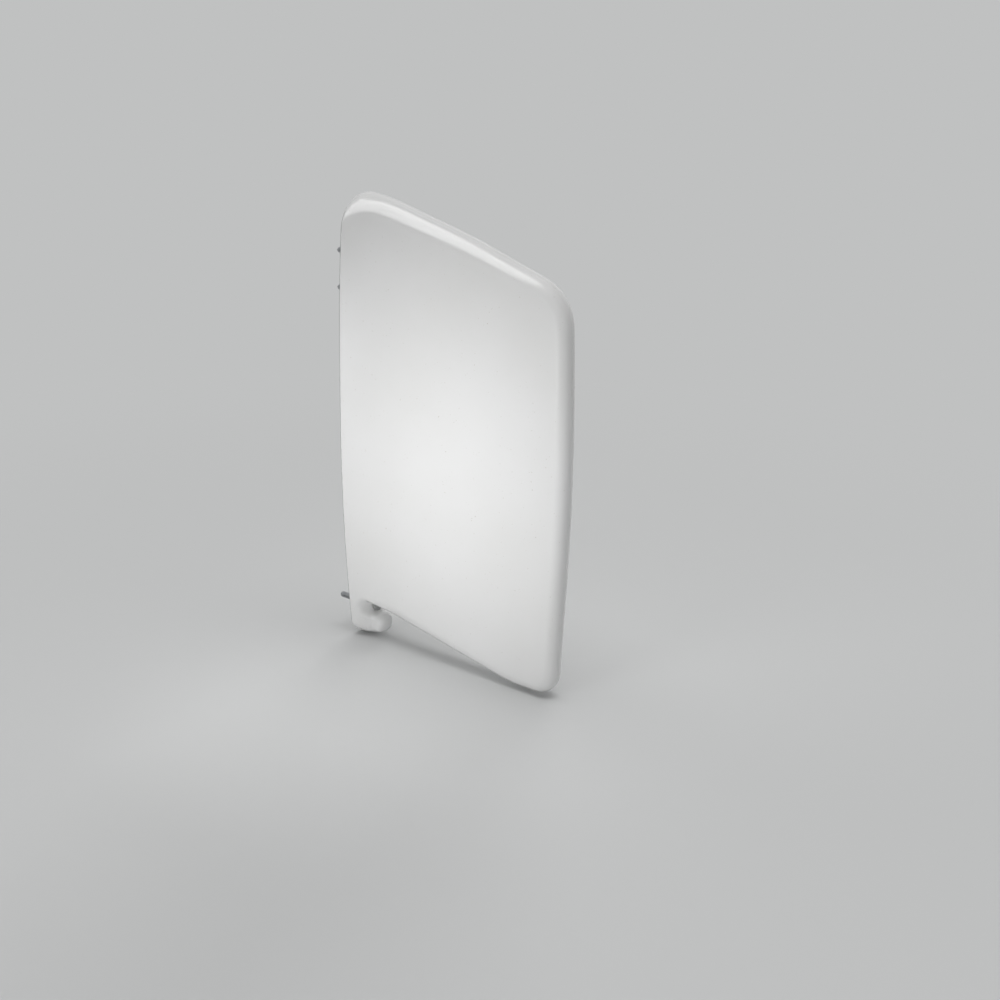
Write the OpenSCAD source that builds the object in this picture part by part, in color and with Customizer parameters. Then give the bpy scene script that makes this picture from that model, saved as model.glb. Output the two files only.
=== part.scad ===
// Wall-hung privacy screen for a row of urinals: a hollow slip-cast china blade, open at the back.
// A web inside the body hangs on a steel hook. One more screw, reached through the slot between the
// lug and the blade, holds the foot. X runs along the wall, the wall is the plane Y = 0, the blade
// points to -Y and Z is up. The origin is on the wall, in the mouth of the uppermost wall plug.

/* [Body] */
// Height of the body
body_h = 736; // [710:1:770]
// How far the body stands out from its own back face
reach = 407; // [380:1:440]
// Greatest width of the flared back that meets the wall
flange_w = 108; // [104:1:116]
// Width that the flared back narrows to at its top
flange_top_w = 86; // [82:1:94]
// Width that the flared back narrows to at its foot
flange_foot_w = 56; // [52:1:62]
// Height of the rounded top of the flared back
flange_top_r = 60; // [52:1:66]
// Height of the rounded foot of the flared back
flange_foot_r = 27; // [22:1:28]
// Thickness of the china wall
shell_t = 9; // [8:0.5:10]

/* [Blade] */
// Thickness that the blade has at its root, under the flare
root_t = 60; // [56:1:64]
// Thickness of the blade at its front edge
edge_t = 35; // [33:1:40]
// How far each face swells out in its middle
crown = 4; // [0:0.5:6]
// Length over which the blade flares out to the wall
flare_len = 90; // [80:1:105]
// How far the top edge falls from the wall to the front
top_fall = 130; // [110:1:140]
// How far the lower edge falls from the slot to the front
low_fall = 55; // [46:1:56]
// Radius of the upper front corner
top_corner_r = 80; // [60:1:90]
// Radius of the lower front corner
low_corner_r = 34; // [30:1:42]
// How far the upper front corner stands back behind the reach
top_setback = 8; // [4:1:14]
// How far the lower front corner stands back behind the reach
low_setback = 12; // [6:1:16]

/* [Lug] */
// Length of the lug under the blade
lug_len = 55; // [50:1:58]
// Width of the lug
lug_w = 36; // [34:1:40]
// Height of the lug where it leaves the flange
lug_h = 40; // [38:0.5:43]
// Height of the lug at its nose
nose_h = 30; // [27:0.5:32]
// Height of the slot between lug and blade
slot_h = 19; // [19:0.5:22]
// Distance from the back face to the inner end of the slot
slot_root = 26; // [25:0.5:29]

/* [Seal] */
// Thickness of the foam seal between body and wall
seal_t = 3; // [2.5:0.5:4]
// How far the seal stays inside both edges of the back face
seal_inset = 2.2; // [1.5:0.1:3]

/* [Hook] */
// How far the uppermost screw lies below the top of the body
hang_drop = 96; // [88:1:116]
// Width of the hook plate
hook_w = 40; // [34:1:44]
// Thickness of its steel
steel_t = 3; // [2:0.5:3.5]
// Inside radius of its bends
bend_r = 3; // [2:0.5:4]
// Height of the shelf of the hook above the uppermost screw
shelf_z = 22; // [18:1:24]
// Height of the lip that holds the web
lip_h = 18; // [14:1:20]
// Thickness of the rubber lining of the hook
lining_t = 2; // [1.5:0.5:3]
// Thickness of the web inside the body
web_t = 10; // [9:0.5:12]
// How far the web lies in front of the back face
web_gap = 1; // [0.5:0.5:2]
// Height of the web inside the body
web_h = 32; // [26:1:36]

/* [Fixings] */
// Distance between the two screws of the hook
screw_pitch = 60; // [54:1:66]
// Diameter of the wall screws
screw_d = 6; // [5:0.5:6]
// Length of the wall screws under the head
screw_len = 60; // [56:1:70]
// Width of the hexagon heads across their flats
head_flats = 10; // [9:0.5:11]
// Height of the hexagon heads
head_h = 4; // [3.5:0.5:5]
// Outer diameter of the washers
washer_d = 12; // [11.5:0.5:13]
// Thickness of the washers
washer_t = 1.6; // [1.2:0.1:2]
// Outer diameter of the wall plugs
plug_d = 10; // [9:0.5:12]
// Length of the wall plugs
plug_len = 50; // [40:1:54]
// Wall of the nylon bush in the hole of the body
bush_t = 1.5; // [1.2:0.1:2]
// Depth of the flat seat that the bush lies in
seat_depth = 1.5; // [1:0.1:2]
// Outer diameter of the cap over the lower screw
cap_d = 14.5; // [14:0.5:15.5]
// Play of a screw or bush in its hole
play = 0.5; // [0.3:0.1:0.8]

/* [Hidden] */

// How finely the skin of the body is divided
rim_steps = 5;
rib_stations = [0.85, 0.6, 0.36, 0.16, 0];
arc_step = 11;
straight_step = 56;
flare_step = 17;

// ---- side outline of the body, as [distance from the back face, height, corner radius]
top_dip = 6;
slot_top = lug_h + slot_h;
hang_z = body_h - hang_drop;
slot_corner_r = slot_h / 5;
nose_r = nose_h * 0.49;
low_bend_u = reach * 0.78;
low_bend_fall = low_fall * 1.025;
corners = [
    [0, body_h - top_dip, 0],
    [12, body_h, 26],
    [60, body_h - top_fall / 13, 300],
    [reach * 0.55, body_h - top_fall * 0.475, 1100],
    [reach - top_setback, body_h - top_fall, top_corner_r],
    [reach + 3, body_h * 0.46, 3400],
    [reach - low_setback, slot_top - low_fall, low_corner_r],
    [low_bend_u, slot_top - low_bend_fall, 220],
    [slot_root, slot_top, slot_corner_r],
    [slot_root, lug_h, slot_corner_r],
    [lug_len, lug_h, nose_r],
    [lug_len, lug_h - nose_h, nose_r],
    [14, 0, 40],
    [0, 0, 0]];

// ---- vectors and rounded corners
function unit(v) = v / norm(v);
function flat(p) = [p[0], p[1]];
function right(d) = [d[1], -d[0]];
function mix(a, b, t) = a + (b - a) * t;
function smooth(t) = let (c = min(1, max(0, t))) c * c * (3 - 2 * c);
function turned(v, a) = [v[0] * cos(a) - v[1] * sin(a), v[0] * sin(a) + v[1] * cos(a)];
function turn_angle(a, b) = atan2(a[0] * b[1] - a[1] * b[0], a * b);

// One rounded corner, as a list of [distance, height, inward normal]
function corner_arc(a, b, c) =
    let (d1 = unit(flat(b) - flat(a)), d2 = unit(flat(c) - flat(b)),
         turn = turn_angle(d1, d2), side = turn < 0 ? 1 : -1,
         start = flat(b) - d1 * b[2] * tan(abs(turn) / 2),
         centre = start + side * b[2] * right(d1),
         steps = max(2, ceil(abs(turn) / arc_step)))
    [for (i = [0 : steps]) let (n = turned(right(d1), turn * i / steps))
        concat(centre - side * b[2] * n, n)];

// Points between the end of one arc and the start of the next, closer together in the flare
function straight(p, q) =
    let (step = min(p[0], q[0]) < flare_len ? flare_step : straight_step,
         steps = ceil(norm(flat(q) - flat(p)) / step))
    steps < 2 ? [] : [for (i = [1 : steps - 1]) concat(mix(flat(p), flat(q), i / steps), [p[2], p[3]])];

arcs = [for (i = [1 : len(corners) - 2]) corner_arc(corners[i - 1], corners[i], corners[i + 1])];
wall_top = [0, body_h - top_dip, 0, -1];
wall_foot = [0, 0, 0, 1];
function arc_end(k) = k < 0 ? wall_top : arcs[k][len(arcs[k]) - 1];
stretches = [for (k = [0 : len(arcs) - 1]) concat(straight(arc_end(k - 1), arcs[k][0]), arcs[k])];
outline = concat([wall_top], [for (s = stretches) each s], [wall_foot]);
last_point = len(outline) - 1;
function last_of(k) = k == 1 ? len(stretches[0]) : last_of(k - 1) + len(stretches[k - 1]);
function first_of(k) = last_of(k) - len(arcs[k - 1]) + 1;

// ---- thickness of the body at a distance from the back face and a height
widest_z = 0.6 * body_h;
flare_power = 1.9;
function flange_half(z) = z > widest_z
    ? mix(flange_w, flange_top_w, pow((z - widest_z) / (body_h - widest_z), 3)) / 2
    : mix(flange_w, flange_foot_w, pow(max(0, widest_z - z) / widest_z, 2.3)) / 2;
function low_edge(u) = slot_top - low_bend_fall * max(0, u - slot_root) / (low_bend_u - slot_root);
function swell(u, z) =
    let (low = low_edge(u), high = body_h - top_fall * u / reach, v = min(1, max(0, (z - low) / (high - low))))
    pow(4 * v * (1 - v), 2) * (1 - pow(u / reach, 3));
function blade_half(u) = mix(root_t, edge_t, u / reach) / 2;
// Above the slot the sides sweep out to the wall. Below it the flange is a rounded box, and the
// narrower lug springs from its front.
function half_t(u, z) =
    let (sweep = pow(max(0, 1 - u / flare_len), flare_power),
         box = max(0, 1 - pow(u / (slot_root + 6), 2)))
    mix(mix(lug_w / 2, flange_half(z), box), mix(blade_half(u) + crown * swell(u, z), flange_half(z), sweep),
        smooth(1 + (z - low_edge(u)) / slot_h));

// Depth of the rounded rim at outline point i. It is half the thickness along the blade, more
// where the flange ends at the wall, and less round the slot and along the lug. Corners 8 and 9 of
// the outline are the inner end of the slot, and corners 10 and 11 the nose of the lug.
slot_ends = [first_of(8), last_of(8), first_of(9), last_of(9)];
function on_top(i) = i < last_of(4);
function rim_depth(i, u) =
    let (top = mix(blade_half(u), flange_top_r, pow(max(0, 1 - u / flange_top_r), 2)),
         low = mix(slot_root * 0.7, blade_half(u), smooth((u - slot_root) / 70)),
         corner = sin(90 * lookup(i, [[slot_ends[2], 0], [slot_ends[3], 1]])),
         lug = nose_r * (mix(1, 0.6, corner) + lookup(i, [[slot_ends[3], 0], [last_of(10), 0.2]])),
         foot = i < last_of(10) ? 0 : smooth(1 - u / (0.75 * lug_len)))
    on_top(i) ? top : mix(mix(low, lug, lookup(i, [[slot_ends[1], 0], [slot_ends[2], 1]])), flange_foot_r, foot);

// Direction of the rim at outline point i, which comes to lie in the wall as it gets near it
function rim_way(i) =
    let (o = outline[i], n = [o[2], o[3]])
    on_top(i) ? unit(mix([0, -1], [min(0, n[0]), n[1]], smooth(o[0] / 110)))
    : i > last_of(11) ? unit(mix([0, 1], n, smooth(o[0] / lug_len))) : n;

// Height at which the rib from outline point i reaches the wall line
rib_feet = [[0, body_h - flange_top_r * 5 / 3], [last_of(4), body_h * 0.72], [first_of(6), body_h * 0.3],
            [slot_ends[0], slot_top + 0.92 * slot_root], [slot_ends[1], slot_top - 2], [slot_ends[2], lug_h + 4],
            [slot_ends[3] - 3, lug_h - nose_r * 0.6], [last_point, flange_foot_r + 2.5]];

// One row of the skin, from the left edge of the back over the rim to its right edge.
// inset 0 gives the outside, and inset shell_t the inside of the china.
function row(i, inset) =
    let (o = outline[i], depth = rim_depth(i, o[0]), n = rim_way(i),
         core = flat(o) + n * depth, foot = [0, lookup(i, rib_feet)], deep = max(3, depth - inset),
         reached = min(1, flare_len / max(1, core[0])),
         shares = concat([(1 + rib_stations[0] * reached) / 2], rib_stations * reached),
         rim = [for (k = [0 : rim_steps]) let (a = 90 * k / rim_steps)
             [(half_t(core[0], core[1]) - inset) * sin(a), core - n * deep * cos(a)]],
         rib = [for (s = shares) let (p = mix(foot, core, s)) [half_t(p[0], p[1]) - inset, p]],
         side = concat(rim, rib), count = len(side) - 1)
    concat([for (k = [count : -1 : 1]) [-side[k][0], side[k][1]]], side);
function skin(inset) = [for (i = [0 : last_point], c = row(i, inset)) [c[0], -seal_t - c[1][0], c[1][1] - hang_z]];

// The skin is a sheet whose four sides all lie in the back face, so its edge is the back's outline
columns = 2 * (rim_steps + len(rib_stations) + 1) + 1;
skin_size = (last_point + 1) * columns;
edge_loop = concat([for (k = [0 : columns - 1]) k],
    [for (i = [1 : last_point]) i * columns + columns - 1],
    [for (k = [columns - 2 : -1 : 0]) last_point * columns + k],
    [for (i = [last_point - 1 : -1 : 1]) i * columns]);
function back_edge(inset) = let (s = skin(inset)) [for (j = edge_loop) [s[j][0], s[j][2]]];

// Turns a drawing in X and Z into a plate that reaches from the plane Y = -from to Y = -to
module plate(from, to) translate([0, -from, 0]) rotate([90, 0, 0]) linear_extrude(to - from) children();
// Turns a side view, drawn as distance from the wall and height, into a strip of width w
module strip(w) rotate([90, 0, -90]) linear_extrude(w, center = true) children();
// A round bar or hole along Y, from the plane Y = -from to Y = -to, at height z
module along_y(d, from, to, z = 0) translate([0, -from, z]) rotate([90, 0, 0]) cylinder(d = d, h = to - from, $fn = 48);
function arc(c, r, a, b) = [for (i = [0 : 6]) c + r * [cos(mix(a, b, i / 6)), sin(mix(a, b, i / 6))]];

// ---- places that several pieces share
web_back = seal_t + web_gap;
web_front = web_back + web_t;
lip_in = web_front + lining_t;
web_z = shelf_z + lining_t;
foot_z = lug_h + slot_h / 2 - hang_z;
seat_y = seal_t + slot_root - seat_depth;
foot_washer_y = seat_y + bush_t;
foot_head_y = foot_washer_y + washer_t;
hook_head_y = steel_t + washer_t;
screw_hole_d = screw_d + 2 * play;
bush_d = screw_hole_d + 2 * bush_t;
bush_flange_d = washer_d + 1;
hook_screws = [0, -screw_pitch];

// The form of the body as one solid. With inset shell_t and out above 0 it is the hollow, which
// runs out through the open back by that length.
module form(inset, out) {
    points = skin(inset);
    behind = [for (j = edge_loop) points[j] + [0, out, 0]];
    count = len(edge_loop);
    // Each four-sided patch is split so that no half of a corner patch lies flat in the back face
    around = [for (i = [0 : last_point - 1], k = [0 : columns - 2])
        let (a = i * columns + k, b = a + 1, c = b + columns, d = a + columns)
        each (k < columns / 2 - 1) == (i < last_point / 2) ? [[a, b, c], [a, c, d]] : [[a, b, d], [b, c, d]]];
    sides = [for (j = [0 : count - 1])
        let (a = edge_loop[j], b = edge_loop[(j + 1) % count], c = skin_size + j, d = skin_size + (j + 1) % count)
        each [[b, a, c], [b, c, d]]];
    if (out == 0) polyhedron(points, concat(around, [[for (j = [count - 1 : -1 : 0]) edge_loop[j]]]));
    else polyhedron(concat(points, behind),
        concat(around, sides, [[for (j = [count - 1 : -1 : 0]) skin_size + j]]));
}

// What the hook and the lower screw need in the hollow is left standing or cut out: the web that
// crosses it, the hole for the bush and the flat seat round the hole.
module screen_body() color("white") difference() {
    form(0, 0);
    difference() {
        form(shell_t, 1);
        translate([-flange_w / 2, -web_front, web_z]) cube([flange_w, web_t, web_h]);
    }
    along_y(bush_d + 2 * play, 0, seat_y + 1, foot_z);
    along_y(cap_d + 2 * play, seat_y, seat_y + seat_depth + slot_corner_r, foot_z);
}

module wall_seal() color("dimgray") plate(0, seal_t) difference() {
    polygon(back_edge(seal_inset));
    polygon(back_edge(shell_t - seal_inset));
}

// Side view of the bent steel: up the wall, out along the shelf and up again at the lip
module hook_side() {
    plate_top = shelf_z - steel_t - bend_r;
    plate_foot = -screw_pitch - 0.9 * washer_d;
    low_bend = [steel_t + bend_r, plate_top];
    lip_bend = [lip_in - bend_r, shelf_z + bend_r];
    polygon(concat(
        [[0, plate_foot]], arc(low_bend, steel_t + bend_r, 180, 90),
        arc(lip_bend, bend_r, 270, 360), [[lip_in, shelf_z + lip_h], [lip_in + steel_t, shelf_z + lip_h]],
        arc(lip_bend, steel_t + bend_r, 360, 270), arc(low_bend, bend_r, 90, 180),
        [[steel_t, plate_foot]]));
}

module hanger_hook() color("silver") difference() {
    strip(hook_w) hook_side();
    for (z = hook_screws) along_y(screw_hole_d, -1, steel_t + 1, z);
}

module hook_lining() color("black") strip(hook_w) polygon(concat(
    [[steel_t + bend_r, shelf_z]], arc([lip_in - bend_r, shelf_z + bend_r], bend_r, 270, 360),
    [[lip_in, shelf_z + lip_h], [web_front, shelf_z + lip_h], [web_front, web_z],
     [steel_t + bend_r, web_z]]));

// Hexagon-headed screw whose head lies on the plane Y = -seat
module wall_screw(seat, z) {
    translate([0, -seat, z]) rotate([90, 0, 0])
        cylinder(d = head_flats / cos(30), h = head_h, $fn = 6);
    along_y(screw_d, seat - screw_len + screw_d, seat, z);
    translate([0, screw_len - screw_d - seat, z]) rotate([-90, 0, 0])
        cylinder(d1 = screw_d, d2 = 1, h = screw_d, $fn = 48);
}

module wall_screws() color("silver") {
    for (z = hook_screws) wall_screw(hook_head_y, z);
    wall_screw(foot_head_y, foot_z);
}

module wall_plug(z) difference() {
    along_y(plug_d, -plug_len, 0, z);
    along_y(screw_d + play / 2, -plug_len - 1, 1, z);
    translate([-plug_d, plug_len * 0.55, z - play]) cube([2 * plug_d, plug_len, 2 * play]);
}

module wall_plugs() color("gray") for (z = concat(hook_screws, foot_z)) wall_plug(z);

module washer(seat, z) difference() {
    along_y(washer_d, seat, seat + washer_t, z);
    along_y(screw_hole_d, seat - 1, seat + washer_t + 1, z);
}

module wall_washers() color("silver") {
    for (z = hook_screws) washer(steel_t, z);
    washer(foot_washer_y, foot_z);
}

module foot_bush() color("ivory") difference() {
    union() {
        along_y(bush_flange_d, seat_y, foot_washer_y, foot_z);
        along_y(bush_d, seat_y - shell_t + seat_depth, seat_y + bush_t / 2, foot_z);
    }
    along_y(screw_hole_d, 0, foot_washer_y + 1, foot_z);
}

// Cap that goes over the head and hides the washer
module screw_cap() color("white") {
    inner_r = (washer_d + play) / 2;
    inner_h = washer_t + head_h + play;
    translate([0, -foot_washer_y, foot_z]) rotate([90, 0, 0]) rotate_extrude($fn = 48) polygon([
        [inner_r, play / 2], [cap_d / 2, play / 2], [cap_d / 2, inner_h], [cap_d / 2 - bush_t, inner_h + bush_t],
        [0, inner_h + bush_t], [0, inner_h], [inner_r, inner_h]]);
}

screen_body();
wall_seal();
hanger_hook();
hook_lining();
wall_screws();
wall_plugs();
wall_washers();
foot_bush();
screw_cap();
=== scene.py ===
# %% [markdown]
# # A china privacy screen
# The real object is one hollow casting of glazed china that hangs on a steel hook, plus the small
# parts that hold it: a foam seal, screws, washers, plugs, a bush and a cap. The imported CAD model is
# the frame. It says where each piece goes, and the pieces made here are dressed over it.

import math

import bpy
import numpy as np
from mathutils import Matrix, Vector


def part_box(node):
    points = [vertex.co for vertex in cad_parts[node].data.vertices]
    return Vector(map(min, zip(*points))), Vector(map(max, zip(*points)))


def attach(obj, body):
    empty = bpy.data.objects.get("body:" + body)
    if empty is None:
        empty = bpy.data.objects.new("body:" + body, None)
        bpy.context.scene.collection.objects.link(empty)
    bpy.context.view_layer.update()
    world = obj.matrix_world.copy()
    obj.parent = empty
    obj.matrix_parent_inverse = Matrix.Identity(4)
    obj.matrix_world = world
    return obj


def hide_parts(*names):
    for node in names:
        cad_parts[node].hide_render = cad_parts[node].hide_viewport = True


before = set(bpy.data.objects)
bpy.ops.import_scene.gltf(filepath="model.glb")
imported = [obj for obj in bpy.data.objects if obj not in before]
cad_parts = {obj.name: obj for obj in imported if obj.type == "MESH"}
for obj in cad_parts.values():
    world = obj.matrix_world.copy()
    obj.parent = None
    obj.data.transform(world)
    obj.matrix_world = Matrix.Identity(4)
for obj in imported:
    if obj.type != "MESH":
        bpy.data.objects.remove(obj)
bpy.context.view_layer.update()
MM = 0.001

# %% [markdown]
# ## The side outline of the casting
# Seen from the side, the screen is a blade with two big rounded corners, a slot under it, and a
# small lug below the slot. It could be drawn as a curve object, but every later step needs to know
# which way is inwards at each point, so it is worked out here as rounded corners joined by
# straight runs. Each corner is its distance from the back face, its height above the foot and its
# radius, all in millimetres. The list starts at the top of the back, goes over the front and along
# the lower edge, round the slot and the lug, and ends at the foot of the back.

# %% Driving dimensions of the casting
BODY_H = 736
REACH = 407
FLANGE_W, FLANGE_TOP_W, FLANGE_FOOT_W = 108, 86, 56
FLANGE_TOP_R, FLANGE_FOOT_R, FOOT_POINT = 60, 28, 1.4
SHELL_T = 9
ROOT_T, EDGE_T, CROWN = 60, 35, 4
FLARE_LEN, FLARE_POWER = 90, 1.9
TOP_FALL, LOW_FALL = 130, 55
LUG_LEN, LUG_W, LUG_H, NOSE_H = 55, 36, 40, 30
SLOT_H, SLOT_ROOT = 19, 26
SEAL_T = 3
HANG_Z = -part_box("screen_body")[0][2] / MM
print("the uppermost screw is", round(HANG_Z, 1), "mm above the foot of the casting")

SLOT_TOP = LUG_H + SLOT_H
SLOT_CORNER_R = SLOT_H / 5
NOSE_R = NOSE_H * 0.49
LOW_BEND_U = REACH * 0.78
LOW_BEND_FALL = LOW_FALL * 1.025
TOP_DIP = 6
CORNERS = [
    (0, BODY_H - TOP_DIP, 0),
    (12, BODY_H, 26),
    (60, BODY_H - 10, 300),
    (REACH * 0.55, BODY_H - TOP_FALL * 0.475, 1100),
    (REACH - 8, BODY_H - TOP_FALL, 80),
    (REACH + 3, BODY_H * 0.46, 3400),
    (REACH - 12, SLOT_TOP - LOW_FALL, 34),
    (LOW_BEND_U, SLOT_TOP - LOW_BEND_FALL, 220),
    (SLOT_ROOT, SLOT_TOP, SLOT_CORNER_R),
    (SLOT_ROOT, LUG_H, SLOT_CORNER_R),
    (LUG_LEN, LUG_H, NOSE_R),
    (LUG_LEN, LUG_H - NOSE_H, NOSE_R),
    (14, 0, 40),
    (0, 0, 0),
]
TOP_FRONT, LOW_FRONT, SLOT_UPPER, SLOT_LOWER, NOSE_UPPER, NOSE_LOWER = 4, 6, 8, 9, 10, 11


# %% Helpers for blending
def mix(a, b, t):
    return a + (b - a) * t


def smooth(t):
    c = min(1, max(0, t))
    return c * c * (3 - 2 * c)


def unit(v):
    return v / np.linalg.norm(v)


def lookup(x, keys):
    return float(np.interp(x, [k[0] for k in keys], [k[1] for k in keys]))


# %% Helpers for corners and straight runs
ARC_STEP_DEG = 5
STRAIGHT_STEP = 14
FLARE_STEP = 6


def right_of(d):
    return np.array([d[1], -d[0]])


def turned(v, angle):
    c, s = math.cos(angle), math.sin(angle)
    return np.array([v[0] * c - v[1] * s, v[0] * s + v[1] * c])


def rounded_corner(a, b, c):
    """Points of one rounded corner, each with the direction that leads into the china."""
    at = np.array(b[:2], float)
    d1 = unit(at - np.array(a[:2], float))
    d2 = unit(np.array(c[:2], float) - at)
    turn = math.atan2(d1[0] * d2[1] - d1[1] * d2[0], float(d1 @ d2))
    side = 1 if turn < 0 else -1
    start = at - d1 * b[2] * math.tan(abs(turn) / 2)
    centre = start + side * b[2] * right_of(d1)
    steps = max(3, math.ceil(abs(math.degrees(turn)) / ARC_STEP_DEG))
    normals = [turned(right_of(d1), turn * i / steps) for i in range(steps + 1)]
    return [(centre - side * b[2] * n, n) for n in normals]


def straight_run(p, q):
    """Points between two corners, closer together where the blade flares out to the wall."""
    step = FLARE_STEP if min(p[0][0], q[0][0]) < FLARE_LEN else STRAIGHT_STEP
    steps = math.ceil(np.linalg.norm(q[0] - p[0]) / step)
    return [(mix(p[0], q[0], i / steps), p[1]) for i in range(1, steps)]


# %% Walk round the outline
outline = [(np.array([0.0, BODY_H - TOP_DIP]), np.array([0.0, -1.0]))]
corner_first, corner_last = {}, {}
for k in range(1, len(CORNERS) - 1):
    bend = rounded_corner(CORNERS[k - 1], CORNERS[k], CORNERS[k + 1])
    outline += straight_run(outline[-1], bend[0])
    corner_first[k] = len(outline)
    outline += bend
    corner_last[k] = len(outline) - 1
outline.append((np.array([0.0, 0.0]), np.array([0.0, 1.0])))
LAST_POINT = len(outline) - 1
print("outline of the casting:", len(outline), "points")

# %% [markdown]
# ## The skin of the casting
# The faces are nearly flat, the blade gets thinner towards its front, and the last part before the
# wall flares out like a trumpet. A box could be pushed into that shape by hand, but the flare, the
# slot and the lug run into one another, so the skin is a grid whose points are moved by formulas.
# Each row of the grid starts on the wall line at the left, runs forward over the face, goes round
# the rim and comes back to the wall at the right. Moving every point inwards by the thickness of
# the china gives the hollow inside.


# %% Thickness of the casting at any place
WIDEST_Z = 0.6 * BODY_H
TOP_POWER, FOOT_POWER = 3, 2.3
BOX_LEN = SLOT_ROOT + 6


def flange_half(z):
    """Half the width of the flared back at a height."""
    if z > WIDEST_Z:
        share = ((z - WIDEST_Z) / (BODY_H - WIDEST_Z)) ** TOP_POWER
        return mix(FLANGE_W, FLANGE_TOP_W, share) / 2
    return mix(FLANGE_W, FLANGE_FOOT_W, ((WIDEST_Z - z) / WIDEST_Z) ** FOOT_POWER) / 2


def low_edge(u):
    """Height of the lower edge of the blade, a distance out from the back face."""
    return SLOT_TOP - LOW_BEND_FALL * max(0, u - SLOT_ROOT) / (LOW_BEND_U - SLOT_ROOT)


def swell(u, z):
    """Share of the crown, which is full in the middle of a face and nothing at its edges."""
    low, high = low_edge(u), BODY_H - TOP_FALL * u / REACH
    v = min(1, max(0, (z - low) / (high - low)))
    return (4 * v * (1 - v)) ** 2 * (1 - (u / REACH) ** 3)


def blade_half(u):
    return mix(ROOT_T, EDGE_T, u / REACH) / 2


def half_thickness(u, z):
    """Half the thickness of blade, flare or lug, blended into one another."""
    sweep = max(0, 1 - u / FLARE_LEN) ** FLARE_POWER
    box = max(0, 1 - (u / BOX_LEN) ** 2)
    lug = mix(LUG_W / 2, flange_half(z), box)
    blade = mix(blade_half(u) + CROWN * swell(u, z), flange_half(z), sweep)
    return mix(lug, blade, smooth(1 + (z - low_edge(u)) / SLOT_H))


middle = half_thickness(REACH / 2, BODY_H / 2)
print("thickness in the middle of the faces:", round(2 * middle, 1), "mm")

# %% How deep the rounded rim goes, and which way
SLOT_FIRST, SLOT_LAST = corner_first[SLOT_UPPER], corner_last[SLOT_UPPER]
LUG_FIRST, LUG_LAST = corner_first[SLOT_LOWER], corner_last[SLOT_LOWER]
NOSE_TOP_LAST, NOSE_FOOT_LAST = corner_last[NOSE_UPPER], corner_last[NOSE_LOWER]
FOOT_BLEND = 0.75 * LUG_LEN
SLOT_RIM, SLOT_BLEND = SLOT_ROOT * 0.7, 70
LUG_PINCH, NOSE_SWELL = 0.6, 0.2
TOP_BLEND = 110


def on_top(i):
    return i < corner_last[TOP_FRONT]


def foot_share(i, u):
    """One at the foot of the flared back, fading to nothing along the underside of the lug."""
    return 0 if i < NOSE_TOP_LAST else smooth(1 - u / FOOT_BLEND)


def rim_depth(i, u):
    """How far in from the outline the rounding of the rim begins."""
    if on_top(i):
        return mix(blade_half(u), FLANGE_TOP_R, max(0, 1 - u / FLANGE_TOP_R) ** 2)
    low = mix(SLOT_RIM, blade_half(u), smooth((u - SLOT_ROOT) / SLOT_BLEND))
    corner = math.sin(math.pi / 2 * lookup(i, [(LUG_FIRST, 0), (LUG_LAST, 1)]))
    nose = lookup(i, [(LUG_LAST, 0), (NOSE_TOP_LAST, NOSE_SWELL)])
    lug = NOSE_R * (mix(1, LUG_PINCH, corner) + nose)
    slot = lookup(i, [(SLOT_LAST, 0), (LUG_FIRST, 1)])
    return mix(mix(low, lug, slot), FLANGE_FOOT_R, foot_share(i, u))


def rim_way(i):
    """The direction that leads from a point of the outline into the china."""
    (u, _), n = outline[i]
    if on_top(i):
        forward = np.array([min(0, n[0]), n[1]])
        return unit(mix(np.array([0.0, -1.0]), forward, smooth(u / TOP_BLEND)))
    if i > NOSE_FOOT_LAST:
        return unit(mix(np.array([0.0, 1.0]), n, smooth(u / LUG_LEN)))
    return n


# Heights at which the rows of some outline points end on the wall, with the rest blended between
WALL_LINE = [
    (0, BODY_H - 100),
    (corner_last[TOP_FRONT], BODY_H * 0.72),
    (corner_first[LOW_FRONT], BODY_H * 0.3),
    (SLOT_FIRST, SLOT_TOP + 24),
    (SLOT_LAST, SLOT_TOP - 2),
    (LUG_FIRST, LUG_H + 4),
    (LUG_LAST - 3, LUG_H - NOSE_R * 0.6),
    (LAST_POINT, FLANGE_FOOT_R + 2.5),
]
print("rim at the nose of the lug:", round(rim_depth(NOSE_TOP_LAST, LUG_LEN), 1), "mm deep")

# %% Rows of the grid
RIM_STEPS = 14
FACE_STEPS, FLARE_STEPS = 14, 16
COLUMNS = 2 * (RIM_STEPS + FACE_STEPS + FLARE_STEPS) + 1
LEAST_RIM, MOST_FLARE = 3, 0.55


def skin_row(i, inset):
    """One row of points, from the wall over the left face and the rim to the wall at the right."""
    (u, z), _ = outline[i]
    depth, way = rim_depth(i, u), rim_way(i)
    core = np.array([u, z]) + way * depth
    foot = np.array([0.0, lookup(min(max(i, 1), LAST_POINT - 1), WALL_LINE)])
    deep = max(LEAST_RIM, depth - inset)
    half = half_thickness(*core) - inset
    point = mix(1, FOOT_POINT, foot_share(i, u))
    side = []
    for k in range(RIM_STEPS + 1):
        a = math.pi / 2 * k / RIM_STEPS
        side.append((half * math.sin(a) ** point, *(core - way * deep * math.cos(a))))
    reached = min(MOST_FLARE, FLARE_LEN / max(1, core[0]))
    shares = [mix(1, reached, k / FACE_STEPS) for k in range(1, FACE_STEPS + 1)]
    shares += [reached * (1 - k / FLARE_STEPS) for k in range(1, FLARE_STEPS + 1)]
    for s in shares:
        p = mix(foot, core, s)
        side.append((half_thickness(*p) - inset, *p))
    return [(-x, *p) for x, *p in reversed(side[1:])] + side


def skin_points(inset):
    rows = [skin_row(i, inset) for i in range(LAST_POINT + 1)]
    return np.array([(x, -SEAL_T - u, z - HANG_Z) for row in rows for x, u, z in row]) * MM


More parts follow.
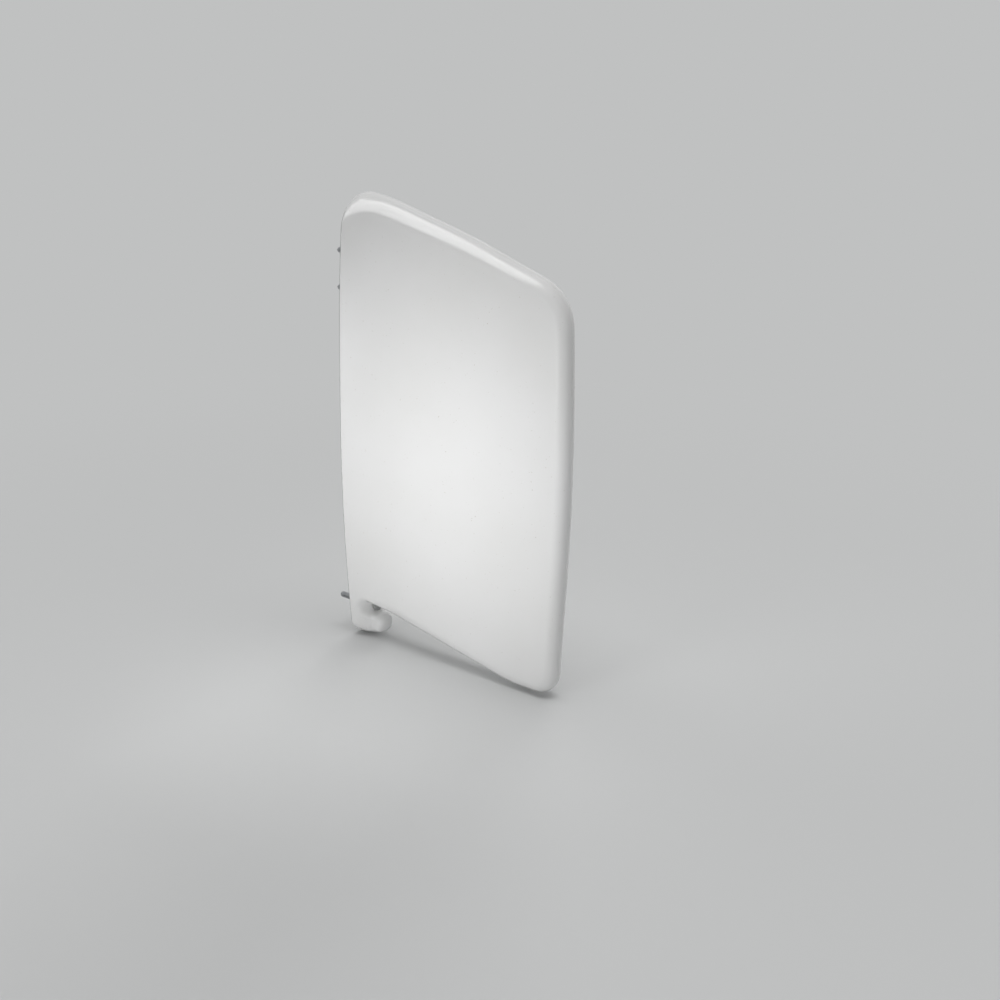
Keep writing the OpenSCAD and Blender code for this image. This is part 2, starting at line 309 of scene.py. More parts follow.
print("grid of the skin:", LAST_POINT + 1, "rows of", COLUMNS)


# %% Helpers for modelling
def deselect():
    if bpy.context.object and bpy.context.object.mode != "OBJECT":
        bpy.ops.object.mode_set(mode="OBJECT")
    bpy.ops.object.select_all(action="DESELECT")


def only(piece):
    deselect()
    piece.select_set(True)
    bpy.context.view_layer.objects.active = piece


def skin_grid(name, inset):
    """Adds a flat grid and moves its points to the skin."""
    deselect()
    bpy.ops.mesh.primitive_grid_add(x_subdivisions=COLUMNS - 1, y_subdivisions=LAST_POINT, size=1)
    grid = bpy.context.object
    grid.name = name
    points = skin_points(inset)
    grid.data.vertices.foreach_set("co", points.astype(np.float32).ravel())
    grid.data.update()
    print(name, "has", len(points), "points")
    return grid


# %% [markdown]
# ## From skin to casting
# A real casting is a thick skin round air. Solidify could give the skin its thickness, but it
# would pinch at the slot, so the form and the hollow are both made as closed solids and one is
# cut from the other. The hollow first loses the web, the bar inside the body that the hook holds,
# so that bar is left standing in the china.


# %% Close a skin at the back
def close_back(piece, out):
    """Runs the open edge of the skin out along +Y by a distance, and fills it."""
    only(piece)
    bpy.ops.object.mode_set(mode="EDIT")
    bpy.ops.mesh.select_mode(type="EDGE")
    bpy.ops.mesh.select_all(action="SELECT")
    bpy.ops.mesh.remove_doubles(threshold=1e-6)
    bpy.ops.mesh.select_all(action="DESELECT")
    bpy.ops.mesh.select_non_manifold()
    if out:
        bpy.ops.mesh.extrude_region_move(TRANSFORM_OT_translate={"value": (0, out, 0)})
    bpy.ops.mesh.edge_face_add()
    bpy.ops.mesh.select_all(action="SELECT")
    bpy.ops.mesh.normals_make_consistent(inside=False)
    bpy.ops.object.mode_set(mode="OBJECT")


china = skin_grid("china_casting", 0)
close_back(china, 0)
hollow = skin_grid("china_hollow", SHELL_T)
close_back(hollow, MM)
print("form:", len(china.data.polygons), "faces; hollow:", len(hollow.data.polygons))


# %% Cut with a tool
def boolean(piece, tool, operation="DIFFERENCE"):
    change = piece.modifiers.new("cut", "BOOLEAN")
    change.operation, change.solver, change.object = operation, "EXACT", tool
    only(piece)
    bpy.ops.object.modifier_apply(modifier=change.name)
    bpy.data.objects.remove(tool)
    print(piece.name, "after", operation.lower(), "has", len(piece.data.polygons), "faces")


def round_tool(diameter, start, end, z):
    """A cylinder along Y between two distances from the wall, in metres."""
    deselect()
    bpy.ops.mesh.primitive_cylinder_add(
        vertices=48,
        radius=diameter / 2,
        depth=end - start,
        location=(0, -(start + end) / 2, z),
        rotation=(math.pi / 2, 0, 0),
    )
    return bpy.context.object


# %% Leave the web standing
WEB_T, WEB_H, WEB_GAP = 10, 32, 1
SHELF_Z, LINING_T = 22, 2
web_back = (SEAL_T + WEB_GAP) * MM
web_z = (SHELF_Z + LINING_T) * MM
deselect()
bpy.ops.mesh.primitive_cube_add(size=1)
web = bpy.context.object
web.scale = (FLANGE_W * MM, WEB_T * MM, WEB_H * MM)
web.location = (0, -web_back - WEB_T * MM / 2, web_z + WEB_H * MM / 2)
bpy.ops.object.transform_apply(location=True, rotation=True, scale=True)
boolean(hollow, web)

# %% Round the back edge
BACK_EDGE_R, BACK_EDGE_ANGLE = 1.2, 50
edge_round = china.modifiers.new("back_edge", "BEVEL")
edge_round.width, edge_round.segments = BACK_EDGE_R * MM, 3
edge_round.limit_method, edge_round.angle_limit = "ANGLE", math.radians(BACK_EDGE_ANGLE)
only(china)
bpy.ops.object.modifier_apply(modifier="back_edge")
print("form with rounded back edge:", len(china.data.polygons), "faces")

# %% Cut the hollow, and drill the hole and seat of the lower screw
SEAT = 27.5
HOLE_D, SEAT_D, SEAT_DEPTH = 11, 15.5, 5.3
boolean(china, hollow)
bush_low, bush_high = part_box("foot_bush")
foot_z = (bush_low[2] + bush_high[2]) / 2
seat_y = SEAT * MM
boolean(china, round_tool(HOLE_D * MM, 0, seat_y + MM, foot_z))
boolean(china, round_tool(SEAT_D * MM, seat_y, seat_y + SEAT_DEPTH * MM, foot_z))
only(china)
bpy.ops.object.shade_smooth_by_angle(angle=math.radians(40))
print("casting with web and hole:", len(china.data.polygons), "faces")


# %% Mark what has no glaze
# The flat back edge stands on the shelf of the kiln, so it gets no glaze and stays raw clay
LAND_DEPTH = 0.4
raw_land_y = -(SEAL_T + LAND_DEPTH) * MM
raw = china.data.attributes.new("raw_clay", "FLOAT", "FACE")
inner = {v.index for v in china.data.vertices if v.co.y > raw_land_y}
land = [p.normal.y > 0.9 and all(v in inner for v in p.vertices) for p in china.data.polygons]
raw.data.foreach_set("value", [float(flag) for flag in land])
print("raw faces on the back edge:", sum(land))

# %% [markdown]
# ## The foam seal
# A strip of closed-cell foam lies between the casting and the wall and evens out both. Its dark
# grey is partly painted shade: it also stands for the shadow line in the gap between the casting
# and the wall. It follows the back edge of the casting, so its outline is taken from the same skin,
# set in by a little. Two flat plates are made from circles whose points are moved to that outline,
# and the smaller is cut from the larger.

# %% Foam seal
SEAL_INSET = 2.2


def back_plate(name, inset, front, back):
    """A plate with the outline of the back edge, between two values of Y."""
    grid = skin_points(inset).reshape(LAST_POINT + 1, COLUMNS, 3)
    loop = [*grid[0], *grid[1:-1, -1], *grid[-1][::-1], *grid[1:-1, 0][::-1]]
    deselect()
    bpy.ops.mesh.primitive_circle_add(vertices=len(loop), fill_type="NGON")
    plate = bpy.context.object
    plate.name = name
    for vertex, (x, _, z) in zip(plate.data.vertices, loop):
        vertex.co = (x, front, z)
    bpy.ops.object.mode_set(mode="EDIT")
    bpy.ops.mesh.select_all(action="SELECT")
    bpy.ops.mesh.remove_doubles(threshold=1e-5)
    bpy.ops.mesh.extrude_region_move(TRANSFORM_OT_translate={"value": (0, back - front, 0)})
    bpy.ops.mesh.select_all(action="SELECT")
    bpy.ops.mesh.normals_make_consistent(inside=False)
    bpy.ops.object.mode_set(mode="OBJECT")
    return plate


def finish_edges(piece, width, segments=2, angle=40):
    """Rounds every sharp edge by the width, and shades the piece smooth up to that angle."""
    only(piece)
    rounding = piece.modifiers.new("edge_rounding", "BEVEL")
    rounding.width, rounding.segments = width, segments
    rounding.limit_method, rounding.angle_limit = "ANGLE", math.radians(angle)
    bpy.ops.object.modifier_apply(modifier=rounding.name)
    bpy.ops.object.shade_smooth_by_angle(angle=math.radians(angle))
    print(piece.name, "has", len(piece.data.polygons), "faces")


seal = back_plate("foam_seal", SEAL_INSET, -SEAL_T * MM, 0)
inside = back_plate("seal_inside", SHELL_T - SEAL_INSET, -(SEAL_T + 1) * MM, MM)
boolean(seal, inside)
finish_edges(seal, 0.5 * MM, 2, 60)

# %% [markdown]
# ## The hook and its lining
# The hook is a strip of 3 mm steel, bent twice. Its shape is already right in the CAD model, so a
# copy of that mesh is taken, its loose triangles are merged, and the sheared edges are broken with
# a small bevel. The rubber lining is dressed the same way.


# %% Hook and lining
def dressed_copy(node, name, width):
    """A merged copy of a CAD node with its edges rounded."""
    only(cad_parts[node])
    bpy.ops.object.duplicate()
    copy = bpy.context.object
    copy.name = name
    copy.parent = None
    for key in list(copy.keys()):
        del copy[key]
    copy.data.materials.clear()
    bpy.ops.object.mode_set(mode="EDIT")
    bpy.ops.mesh.select_all(action="SELECT")
    bpy.ops.mesh.remove_doubles(threshold=1e-6)
    bpy.ops.mesh.dissolve_limited(angle_limit=math.radians(1))
    bpy.ops.object.mode_set(mode="OBJECT")
    finish_edges(copy, width, 2, 35)
    return copy


hook = dressed_copy("hanger_hook", "steel_hook", 0.4 * MM)
lining = dressed_copy("hook_lining", "rubber_lining", 0.3 * MM)

# %% [markdown]
# ## Turned parts
# Washers, plugs, the bush and the cap are all round, so each is half a cross-section that is spun
# about the screw's axis. The section is a circle whose points are moved to its corners, which
# gives a closed loop to spin. Each point is its radius and its distance from the wall.

# %% Spin a cross-section
SPIN_STEPS = 48
HOOK_SCREW_PITCH = 60
SCREW_HEIGHTS = (0.0, -HOOK_SCREW_PITCH * MM, foot_z)


def spun(name, section, z):
    deselect()
    bpy.ops.mesh.primitive_circle_add(vertices=len(section), fill_type="NOTHING")
    piece = bpy.context.object
    piece.name = name
    for vertex, (radius, out) in zip(piece.data.vertices, section):
        vertex.co = (radius * MM, -out * MM, z)
    bpy.ops.object.mode_set(mode="EDIT")
    bpy.ops.mesh.select_all(action="SELECT")
    bpy.ops.mesh.spin(steps=SPIN_STEPS, angle=2 * math.pi, center=(0, 0, z), axis=(0, 1, 0))
    bpy.ops.mesh.select_all(action="SELECT")
    bpy.ops.mesh.remove_doubles(threshold=1e-6)
    bpy.ops.mesh.dissolve_degenerate(threshold=1e-7)
    bpy.ops.mesh.normals_make_consistent(inside=False)
    bpy.ops.object.mode_set(mode="OBJECT")
    return piece


def joined(name, parts):
    deselect()
    for part in parts:
        part.select_set(True)
    bpy.context.view_layer.objects.active = parts[0]
    bpy.ops.object.join()
    parts[0].name = name
    print(name, "has", len(parts[0].data.polygons), "faces")
    return parts[0]


# %% Washers
SCREW_D, PLAY = 6, 0.5
SCREW_HOLE_R = SCREW_D / 2 + PLAY
WASHER_R, WASHER_T = 6, 1.6
HOOK_SEAT, FOOT_SEAT = 3, 29


def washer(seat, z):
    front = seat + WASHER_T
    ring = [(SCREW_HOLE_R, seat), (WASHER_R, seat), (WASHER_R, front), (SCREW_HOLE_R, front)]
    piece = spun("washer", ring, z)
    finish_edges(piece, 0.25 * MM)
    return piece


seats = (HOOK_SEAT, HOOK_SEAT, FOOT_SEAT)
washers = joined("steel_washers", [washer(s, z) for s, z in zip(seats, SCREW_HEIGHTS)])

# %% Wall plugs with ribs and a slit
PLUG_R, PLUG_LEN, PLUG_BORE_R = 5, 50, 3.125
RIBS_FROM, RIBS_END, RIB_PITCH, RIB_DEPTH = 8, 3, 4.2, 0.5
RIB_BACK, RIB_LAND = 0.6, 0.4
SLIT_FROM = 0.55 * PLUG_LEN


def wall_plug(z):
    section = [(PLUG_BORE_R, 0), (PLUG_R, 0), (PLUG_R, -RIBS_FROM)]
    groove_r = PLUG_R - RIB_DEPTH
    rib = -RIBS_FROM
    while rib - RIB_PITCH > RIBS_END - PLUG_LEN:
        ridge = rib - RIB_PITCH
        section += [(groove_r, rib - RIB_BACK), (PLUG_R, ridge + RIB_LAND), (PLUG_R, ridge)]
        rib = ridge
    section += [(groove_r, 1 - PLUG_LEN), (groove_r - RIB_DEPTH, -PLUG_LEN)]
    section.append((PLUG_BORE_R, -PLUG_LEN))
    piece = spun("wall_plug", section, z)
    deselect()
    bpy.ops.mesh.primitive_cube_add(size=1)
    slit = bpy.context.object
    slit.scale = (4 * PLUG_R * MM, PLUG_LEN * MM, 2 * PLAY * MM)
    slit.location = (0, (SLIT_FROM + PLUG_LEN / 2) * MM, z)
    bpy.ops.object.transform_apply(location=True, rotation=True, scale=True)
    boolean(piece, slit)
    finish_edges(piece, 0.12 * MM, 1, 50)
    return piece


plugs = joined("nylon_plugs", [wall_plug(z) for z in SCREW_HEIGHTS])

# %% Bush and cap
BUSH_R, BUSH_FLANGE_R, BUSH_END = 5, 6.5, 20
HEAD_H = 4
CAP_R, CAP_INNER_R, CAP_GAP, CAP_CROWN = 7.25, 6.25, 0.25, 1.5
CAP_INNER_H = WASHER_T + HEAD_H + PLAY
bush = spun("nylon_bush", [
    (SCREW_HOLE_R, BUSH_END), (BUSH_R, BUSH_END), (BUSH_R, SEAT), (BUSH_FLANGE_R, SEAT),
    (BUSH_FLANGE_R, FOOT_SEAT), (SCREW_HOLE_R, FOOT_SEAT),
], foot_z)
finish_edges(bush, 0.3 * MM)
cap_foot, cap_roof = FOOT_SEAT + CAP_GAP, FOOT_SEAT + CAP_INNER_H
crown_arc = [math.radians(a) for a in range(0, 91, 15)]
crown = [
    (CAP_R - CAP_CROWN * (1 - math.cos(a)), cap_roof + CAP_CROWN * math.sin(a)) for a in crown_arc
]
cap = spun("plastic_cap", [
    (CAP_INNER_R, cap_foot), (CAP_R, cap_foot), *crown,
    (0, cap_roof + CAP_CROWN), (0, cap_roof), (CAP_INNER_R, cap_roof),
], foot_z)
finish_edges(cap, 0.15 * MM)

# %% [markdown]
# ## The screws
# A coach screw has a hexagon head whose corners are turned off, a plain shank and a coarse thread
# that ends in a point. The head is a six-sided cylinder cut to a spun cone. The thread is a fine
# cylinder whose points are moved in and out, once per turn, so it stays closed.

# %% Screws
HEAD_FLATS, SCREW_LEN, TIP_LEN = 10, 60, 0.5
PLAIN_SHANK, THREAD_PITCH, THREAD_DEPTH, THREAD_SHARE = 24, 2.6, 0.7, 0.28
SIDES, RINGS_PER_TURN = 24, 8


def screw_radius(along, turn):
    """Radius of the shank at a distance from the head and a share of a turn."""
    left = SCREW_LEN - along
    taper = min(1, (left + TIP_LEN) / SCREW_D)
    if along < PLAIN_SHANK:
        return SCREW_D / 2
    phase = (along / THREAD_PITCH - turn) % 1
    ridge = max(0, 1 - abs(phase - 0.5) / THREAD_SHARE)
    fade = smooth((along - PLAIN_SHANK) / THREAD_PITCH)
    return (SCREW_D / 2 - THREAD_DEPTH * (1 - ridge) * fade) * taper


def threaded_shank(seat, z):
    """A fine closed cylinder whose points follow the thread, from the head into the wall."""
    rings = int(SCREW_LEN / THREAD_PITCH * RINGS_PER_TURN)
    deselect()
    bpy.ops.mesh.primitive_grid_add(x_subdivisions=SIDES, y_subdivisions=rings, size=1)
    shank = bpy.context.object
    shank.name = "wall_screw"
    spots = []
    for j in range(rings + 1):
        along = SCREW_LEN * j / rings
        for i in range(SIDES + 1):
            a, r = 2 * math.pi * i / SIDES, screw_radius(along, i / SIDES % 1)
            spots += [r * math.cos(a) * MM, (along - seat) * MM, z + r * math.sin(a) * MM]
    shank.data.vertices.foreach_set("co", spots)
    bpy.ops.object.mode_set(mode="EDIT")
    bpy.ops.mesh.select_mode(type="EDGE")
    bpy.ops.mesh.select_all(action="SELECT")
    bpy.ops.mesh.remove_doubles(threshold=1e-6)
    bpy.ops.mesh.select_all(action="DESELECT")
    bpy.ops.mesh.select_non_manifold()
    bpy.ops.mesh.fill_holes(sides=SIDES + 2)
    bpy.ops.mesh.select_all(action="SELECT")
    bpy.ops.mesh.normals_make_consistent(inside=False)
    bpy.ops.object.mode_set(mode="OBJECT")
    return shank


# %% Hexagon head
HEAD_CORNER_R = HEAD_FLATS / 2 / math.cos(math.pi / 6)
HEAD_CHAMFER, PROUD = 0.75, 0.02


def hexagon_head(seat, z):
    """A six-sided cylinder whose corners are turned off by a spun cone."""
    deselect()
    bpy.ops.mesh.primitive_cylinder_add(
        vertices=6, radius=HEAD_CORNER_R * MM, depth=HEAD_H * MM,
        location=(0, -(seat + HEAD_H / 2) * MM, z), rotation=(math.pi / 2, 0, 0),
    )
    head = bpy.context.object
    wide, top = HEAD_CORNER_R + 0.2, seat + HEAD_H
    cone = spun("head_cone", [
        (0, seat - 1), (wide, seat - 1), (wide, top - HEAD_CHAMFER),
        (HEAD_FLATS / 2 - 0.2, top + PROUD), (0, top + PROUD),
    ], z)
    boolean(head, cone, "INTERSECT")
    return head


# %% Three screws
def wall_screw(seat, z):
    screw = threaded_shank(seat, z)
    boolean(screw, hexagon_head(seat, z), "UNION")
    only(screw)
    bpy.ops.object.shade_smooth_by_angle(angle=math.radians(35))
    return screw


heads = (HOOK_SEAT + WASHER_T, HOOK_SEAT + WASHER_T, FOOT_SEAT + WASHER_T)
screws = joined("steel_screws", [wall_screw(s, z) for s, z in zip(heads, SCREW_HEIGHTS)])

# %% [markdown]
# ## Materials
# Each finish is procedural. Noise read from Object coordinates changes the colour, the roughness
# and the height of the surface a little, because nothing real is perfectly even. What is the same
# all over a surface is set straight on the shader.


# %% Helpers for materials
def rgb(*levels):
    """A colour as it looks on screen, 0 to 255, turned into the linear values a shader takes."""
    s = [v / 255 for v in levels]
    return (*[v / 12.92 if v <= 0.04045 else ((v + 0.055) / 1.055) ** 2.4 for v in s], 1)


class Finish:
    """A material and short ways to add its nodes."""

    def __init__(self, name, **constants):
        self.material = bpy.data.materials.new(name)
        self.material.use_nodes = True
        self.nodes, self.links = self.material.node_tree.nodes, self.material.node_tree.links
        self.shader = self.nodes["Principled BSDF"]
        self.place = self.nodes.new("ShaderNodeTexCoord").outputs["Object"]
        for key, value in constants.items():
            self.shader.inputs[key.replace("_", " ")].default_value = value

    def noise(self, scale, detail=2.0, roughness=0.5, stretch=(1, 1, 1)):
        mapping = self.nodes.new("ShaderNodeMapping")
        mapping.inputs["Scale"].default_value = stretch
        noise = self.nodes.new("ShaderNodeTexNoise")
        for key, value in (("Scale", scale), ("Detail", detail), ("Roughness", roughness)):
            noise.inputs[key].default_value = value
        self.links.new(self.place, mapping.inputs["Vector"])
        self.links.new(mapping.outputs["Vector"], noise.inputs["Vector"])
        return noise.outputs["Fac"]

    def cells(self, scale):
        cells = self.nodes.new("ShaderNodeTexVoronoi")
        cells.inputs["Scale"].default_value = scale
        self.links.new(self.place, cells.inputs["Vector"])
        return cells.outputs["Distance"]

    def ramp(self, factor, *stops):
        """Turns a value into colours or levels, given as (position, colour)."""
        ramp = self.nodes.new("ShaderNodeValToRGB")
        elements = ramp.color_ramp.elements
        while len(elements) < len(stops):
            elements.new(0.5)
        for element, (position, colour) in zip(elements, stops):
            element.position, element.color = position, colour
        self.links.new(factor, ramp.inputs["Fac"])
        return ramp.outputs["Color"]

    def mottled(self, fac, low, high):
        """Runs from one colour to another over the middle of a noise."""
        return self.ramp(fac, (0.3, low), (0.7, high))

    def blend(self, factor, a, b):
        mixer = self.nodes.new("ShaderNodeMix")
        mixer.data_type = "RGBA"
        sockets = [mixer.inputs[i] for i in (0, 6, 7)]
        for socket, value in zip(sockets, (factor, a, b)):
            if isinstance(value, bpy.types.NodeSocket):
                self.links.new(value, socket)
            else:
                socket.default_value = value
        return mixer.outputs[2]

    def bump(self, height, strength, distance, base=None):
        bump = self.nodes.new("ShaderNodeBump")
        bump.inputs["Strength"].default_value = strength
        bump.inputs["Distance"].default_value = distance
        self.links.new(height, bump.inputs["Height"])
        if base is not None:
            self.links.new(base, bump.inputs["Normal"])
        return bump.outputs["Normal"]

    def set(self, socket, source):
        self.links.new(source, self.shader.inputs[socket])


def grey(level):
    return (level, level, level, 1)


# %% Glazed china
# White clay under a clear glass glaze, with soft ripples, a slightly uneven tone and fine specks
china_finish = Finish("glazed_china", Coat_Weight=0.5, Coat_Roughness=0.04, Coat_IOR=1.5)
tone = china_finish.mottled(china_finish.noise(5.0, 3.0), rgb(235, 235, 234), rgb(240, 240, 240))
specks = china_finish.ramp(china_finish.noise(420.0, 1.0), (0.2, grey(1)), (0.235, grey(0)))
speckled = china_finish.blend(specks, tone, rgb(196, 192, 182))
is_raw = china_finish.nodes.new("ShaderNodeAttribute")
is_raw.attribute_name = "raw_clay"
clay = china_finish.mottled(china_finish.noise(60.0, 4.0), rgb(214, 206, 190), rgb(228, 221, 206))
china_finish.set("Base Color", china_finish.blend(is_raw.outputs["Fac"], speckled, clay))
sheen = china_finish.mottled(china_finish.noise(14.0, 3.0), grey(0.16), grey(0.24))
china_finish.set("Roughness", china_finish.blend(is_raw.outputs["Fac"], sheen, grey(0.8)))
ripples = china_finish.bump(china_finish.noise(10.0, 1.5, 0.4), 0.12, 0.004)
china_finish.set("Normal", china_finish.bump(china_finish.noise(160.0, 2.0), 0.06, 0.0006, ripples))

# %% Zinc-plated steel
zinc = Finish("zinc_steel", Metallic=1.0)
zinc.set("Base Color", zinc.mottled(zinc.noise(70.0, 4.0), rgb(176, 179, 182), rgb(204, 206, 206)))
zinc.set("Roughness", zinc.mottled(zinc.noise(160.0, 4.0), grey(0.24), grey(0.42)))
zinc.set("Normal", zinc.bump(zinc.noise(300.0, 3.0, 0.6, (1, 1, 0.08)), 0.15, 0.0004))

# %% Foam, rubber, nylon and plastic
# Dark grey foam cells; the dark grey is also painted shade for the shadow line between casting and
# wall
foam = Finish("seal_foam")
foam.set("Base Color", foam.ramp(foam.cells(900.0), (0.0, rgb(52, 53, 54)), (0.6, rgb(86, 87, 88))))
foam.set("Roughness", foam.mottled(foam.noise(200.0), grey(0.78), grey(0.92)))
foam.set("Normal", foam.bump(foam.cells(900.0), 0.5, 0.0005))

rubber = Finish("black_rubber")
rubber.set("Base Color", rubber.mottled(rubber.noise(120.0, 3.0), rgb(30, 30, 31), rgb(44, 44, 45)))
rubber.set("Roughness", rubber.mottled(rubber.noise(240.0), grey(0.55), grey(0.75)))
rubber.set("Normal", rubber.bump(rubber.noise(600.0, 2.0), 0.2, 0.0003))

plug_nylon = Finish("plug_nylon")
plug_tone = plug_nylon.mottled(plug_nylon.noise(90.0, 3.0), rgb(138, 141, 144), rgb(152, 154, 156))
plug_nylon.set("Base Color", plug_tone)
plug_nylon.set("Roughness", plug_nylon.mottled(plug_nylon.noise(300.0), grey(0.4), grey(0.55)))
plug_nylon.set("Normal", plug_nylon.bump(plug_nylon.noise(500.0, 2.0), 0.15, 0.0003))

clear_nylon = Finish("clear_nylon", Transmission_Weight=0.2, IOR=1.53)
bush_noise = clear_nylon.noise(150.0, 2.0)
bush_tone = clear_nylon.mottled(bush_noise, rgb(226, 222, 206), rgb(236, 233, 220))
clear_nylon.set("Base Color", bush_tone)
clear_nylon.set("Roughness", clear_nylon.mottled(clear_nylon.noise(300.0), grey(0.3), grey(0.45)))

# The mid grey of the cap is painted shade: it stands for the shadow in the slot where the cap sits
cap_plastic = Finish("cap_plastic")
cap_noise = cap_plastic.noise(120.0, 2.0)
cap_grey_painted_shade = cap_plastic.mottled(cap_noise, rgb(148, 150, 149), rgb(160, 161, 160))
cap_plastic.set("Base Color", cap_grey_painted_shade)
cap_plastic.set("Roughness", cap_plastic.mottled(cap_plastic.noise(260.0), grey(0.22), grey(0.32)))
cap_plastic.set("Normal", cap_plastic.bump(cap_plastic.noise(700.0, 2.0), 0.08, 0.0002))


# %% Give each piece its finish and its place in the frame
def dress(piece, finish, node):
    piece.data.materials.clear()
    piece.data.materials.append(finish.material)
    for polygon in piece.data.polygons:
        polygon.material_index = 0
    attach(piece, "root")
    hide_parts(node)
    print(piece.name, "stands for", node, "and wears", finish.material.name)


dress(china, china_finish, "screen_body")
dress(seal, foam, "wall_seal")
dress(hook, zinc, "hanger_hook")
dress(lining, rubber, "hook_lining")
dress(screws, zinc, "wall_screws")
dress(washers, zinc, "wall_washers")
dress(plugs, plug_nylon, "wall_plugs")
dress(bush, clear_nylon, "foot_bush")
dress(cap, cap_plastic, "screw_cap")

# %% [markdown]
# ## Floor, backdrop and light
# The screen stands over a plain pale floor that keeps its shadow and fades into the backdrop, so no
# horizon cuts the picture. The backdrop is what the camera and the reflections see, while the china
# itself is lit by a darker world and four lamps. A soft lamp at the left, level with the middle of
# the face, gives the face its bright centre and darker ends. A lamp above it shows in reflections
# only and draws the light line along the rounded rim. Two broad suns, one overhead and one from the
# far right, keep the shaded sides from going flat.

# %% Floor that fades into the backdrop
BACKDROP = rgb(192, 193, 193)
FLOOR_PAINT = rgb(204, 205, 205)
FLOOR_SIZE, FLOOR_DROP = 30, 0.0005
FADE_START, FADE_END = 0.75, 2.2
floor_z = -HANG_Z * MM
deselect()
bpy.ops.mesh.primitive_plane_add(size=FLOOR_SIZE, location=(0, 0, floor_z - FLOOR_DROP))
floor = bpy.context.object
floor.name = "studio_floor"
floor_finish = Finish("studio_floor_paint", Roughness=0.85)
floor_finish.shader.inputs["Base Color"].default_value = FLOOR_PAINT
glow = floor_finish.nodes.new("ShaderNodeEmission")
glow.inputs["Color"].default_value = BACKDROP
away = floor_finish.nodes.new("ShaderNodeVectorMath")
away.operation = "LENGTH"
floor_finish.links.new(floor_finish.place, away.inputs[0])
fade = floor_finish.nodes.new("ShaderNodeMapRange")
fade.interpolation_type = "SMOOTHSTEP"
fade.inputs["From Min"].default_value = FADE_START
fade.inputs["From Max"].default_value = FADE_END
floor_finish.links.new(away.outputs["Value"], fade.inputs["Value"])


def seen_rays(nodes, links):
    # One for rays from the camera, a reflection or clear plastic, so that these show the backdrop
    rays = nodes.new("ShaderNodeLightPath")
    seen_from = rays.outputs["Is Camera Ray"]
    for kind in ("Is Glossy Ray", "Is Transmission Ray"):
        either = nodes.new("ShaderNodeMath")
        either.operation = "MAXIMUM"
        links.new(seen_from, either.inputs[0])
        links.new(rays.outputs[kind], either.inputs[1])
        seen_from = either.outputs["Value"]
    return seen_from


seen = floor_finish.nodes.new("ShaderNodeMath")
seen.operation = "MULTIPLY"
floor_finish.links.new(seen_rays(floor_finish.nodes, floor_finish.links), seen.inputs[0])
floor_finish.links.new(fade.outputs["Result"], seen.inputs[1])
mixer = floor_finish.nodes.new("ShaderNodeMixShader")
floor_finish.links.new(seen.outputs["Value"], mixer.inputs["Fac"])
floor_finish.links.new(floor_finish.shader.outputs["BSDF"], mixer.inputs[1])
floor_finish.links.new(glow.outputs["Emission"], mixer.inputs[2])
floor_surface = floor_finish.nodes["Material Output"].inputs["Surface"]
floor_finish.links.new(mixer.outputs["Shader"], floor_surface)
floor.data.materials.append(floor_finish.material)
print("floor at", round(floor.location.z / MM, 1), "mm")

# %% Backdrop and the plain light of the world
WORLD_LEVEL = 0.21
world = bpy.data.worlds.new("studio_world")
bpy.context.scene.world = world
world.use_nodes = True
nodes, links = world.node_tree.nodes, world.node_tree.links
nodes["Background"].inputs["Color"].default_value = grey(WORLD_LEVEL)
backdrop = nodes.new("ShaderNodeBackground")
backdrop.inputs["Color"].default_value = BACKDROP
switch = nodes.new("ShaderNodeMixShader")
links.new(seen_rays(nodes, links), switch.inputs["Fac"])
links.new(nodes["Background"].outputs["Background"], switch.inputs[1])
links.new(backdrop.outputs["Background"], switch.inputs[2])
links.new(switch.outputs["Shader"], nodes["World Output"].inputs["Surface"])
print("world:", len(nodes), "nodes")


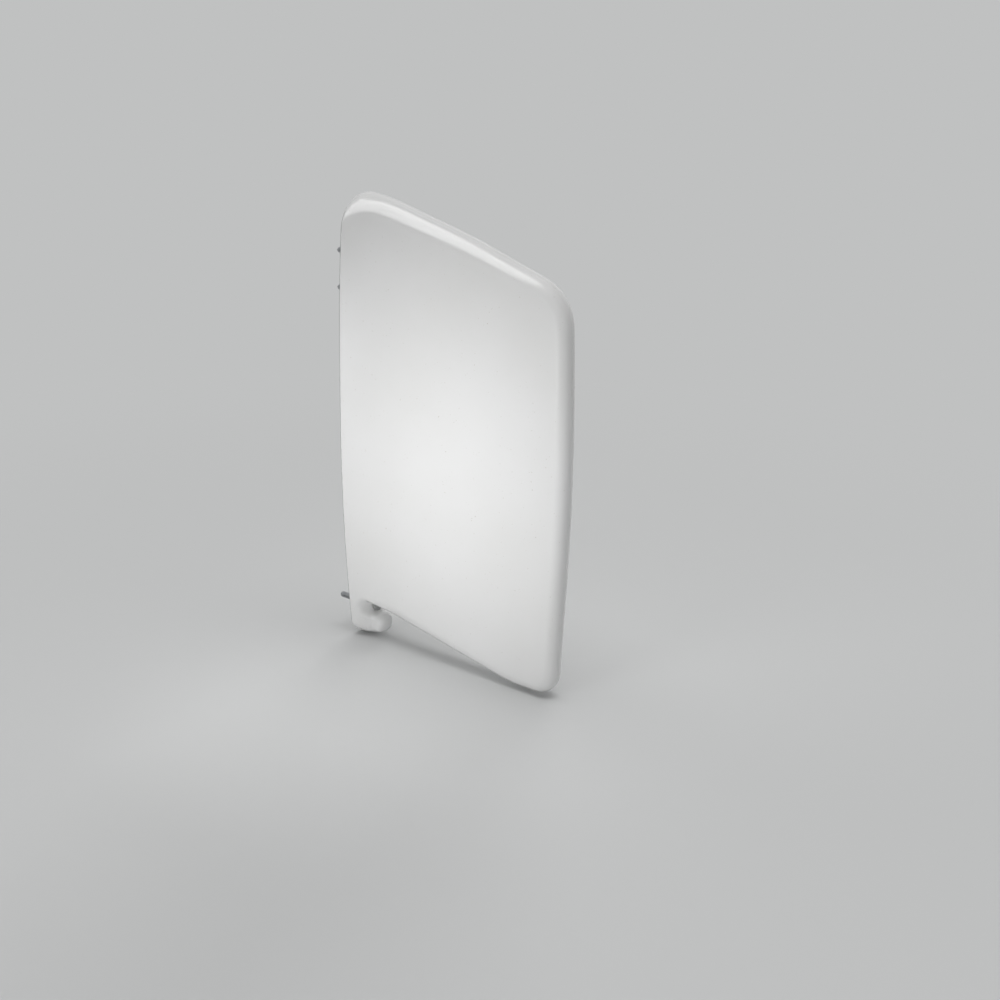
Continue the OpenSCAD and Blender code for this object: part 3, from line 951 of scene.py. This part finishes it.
# %% Lamps
def hang_lamp(name, lamp, place, target, only_reflected=False):
    # A lamp either lights surfaces or is seen reflected in them, so a broad one clips no highlight
    holder = bpy.data.objects.new(name, lamp)
    bpy.context.collection.objects.link(holder)
    holder.location = place
    holder.rotation_euler = (Vector(target) - Vector(place)).to_track_quat("-Z", "Y").to_euler()
    holder.visible_camera = False
    holder.visible_diffuse, holder.visible_glossy = not only_reflected, only_reflected
    print(name, "is", round((Vector(place) - Vector(target)).length, 2), "m from its target")


face_lamp = bpy.data.lights.new("face_lamp", "AREA")
face_lamp.shape, face_lamp.size, face_lamp.energy = "SQUARE", 0.4, 0.74
face_lamp.spread = math.radians(74)
face_height = floor_z / 2 + 0.005
hang_lamp("face_lamp", face_lamp, (-0.8, -0.2, face_height), (0, -0.2, face_height))
rim_lamp = bpy.data.lights.new("rim_lamp", "AREA")
rim_lamp.shape, rim_lamp.size, rim_lamp.size_y, rim_lamp.energy = "RECTANGLE", 1.0, 1.3, 10
hang_lamp("rim_lamp", rim_lamp, (-0.6, 0.3, 0.95), (0, -0.2, 0), only_reflected=True)
sky_lamp = bpy.data.lights.new("sky_lamp", "SUN")
sky_lamp.energy, sky_lamp.angle = 1.7, math.radians(50)
hang_lamp("sky_lamp", sky_lamp, (0, 0, 2), (0, 0, 0))
far_lamp = bpy.data.lights.new("far_lamp", "SUN")
far_lamp.energy, far_lamp.angle = 0.9, math.radians(30)
hang_lamp("far_lamp", far_lamp, (2, 0.8, 0.7), (0, 0, 0))

# %% Camera
# The camera stands left of the screen and a little above its top, as in the photograph
CAMERA_PLACE = (-1.3967, -1.3372, 0.1713)
CAMERA_YAW, CAMERA_PITCH = 47.59, 13.0
FOCAL_PIXELS, IMAGE_PIXELS, SENSOR_MM = 1208.9, 1000, 36
camera_data = bpy.data.cameras.new("photo_camera")
camera = bpy.data.objects.new("photo_camera", camera_data)
bpy.context.collection.objects.link(camera)
camera.location = CAMERA_PLACE
camera.rotation_euler = (math.radians(90 - CAMERA_PITCH), 0, -math.radians(CAMERA_YAW))
camera_data.sensor_width = SENSOR_MM
camera_data.lens = SENSOR_MM * FOCAL_PIXELS / IMAGE_PIXELS
camera_data.shift_x, camera_data.shift_y = 0.11, -0.08
bpy.context.scene.camera = camera
bpy.context.scene.view_settings.view_transform = "Standard"
print("focal length:", round(camera_data.lens, 1), "mm")
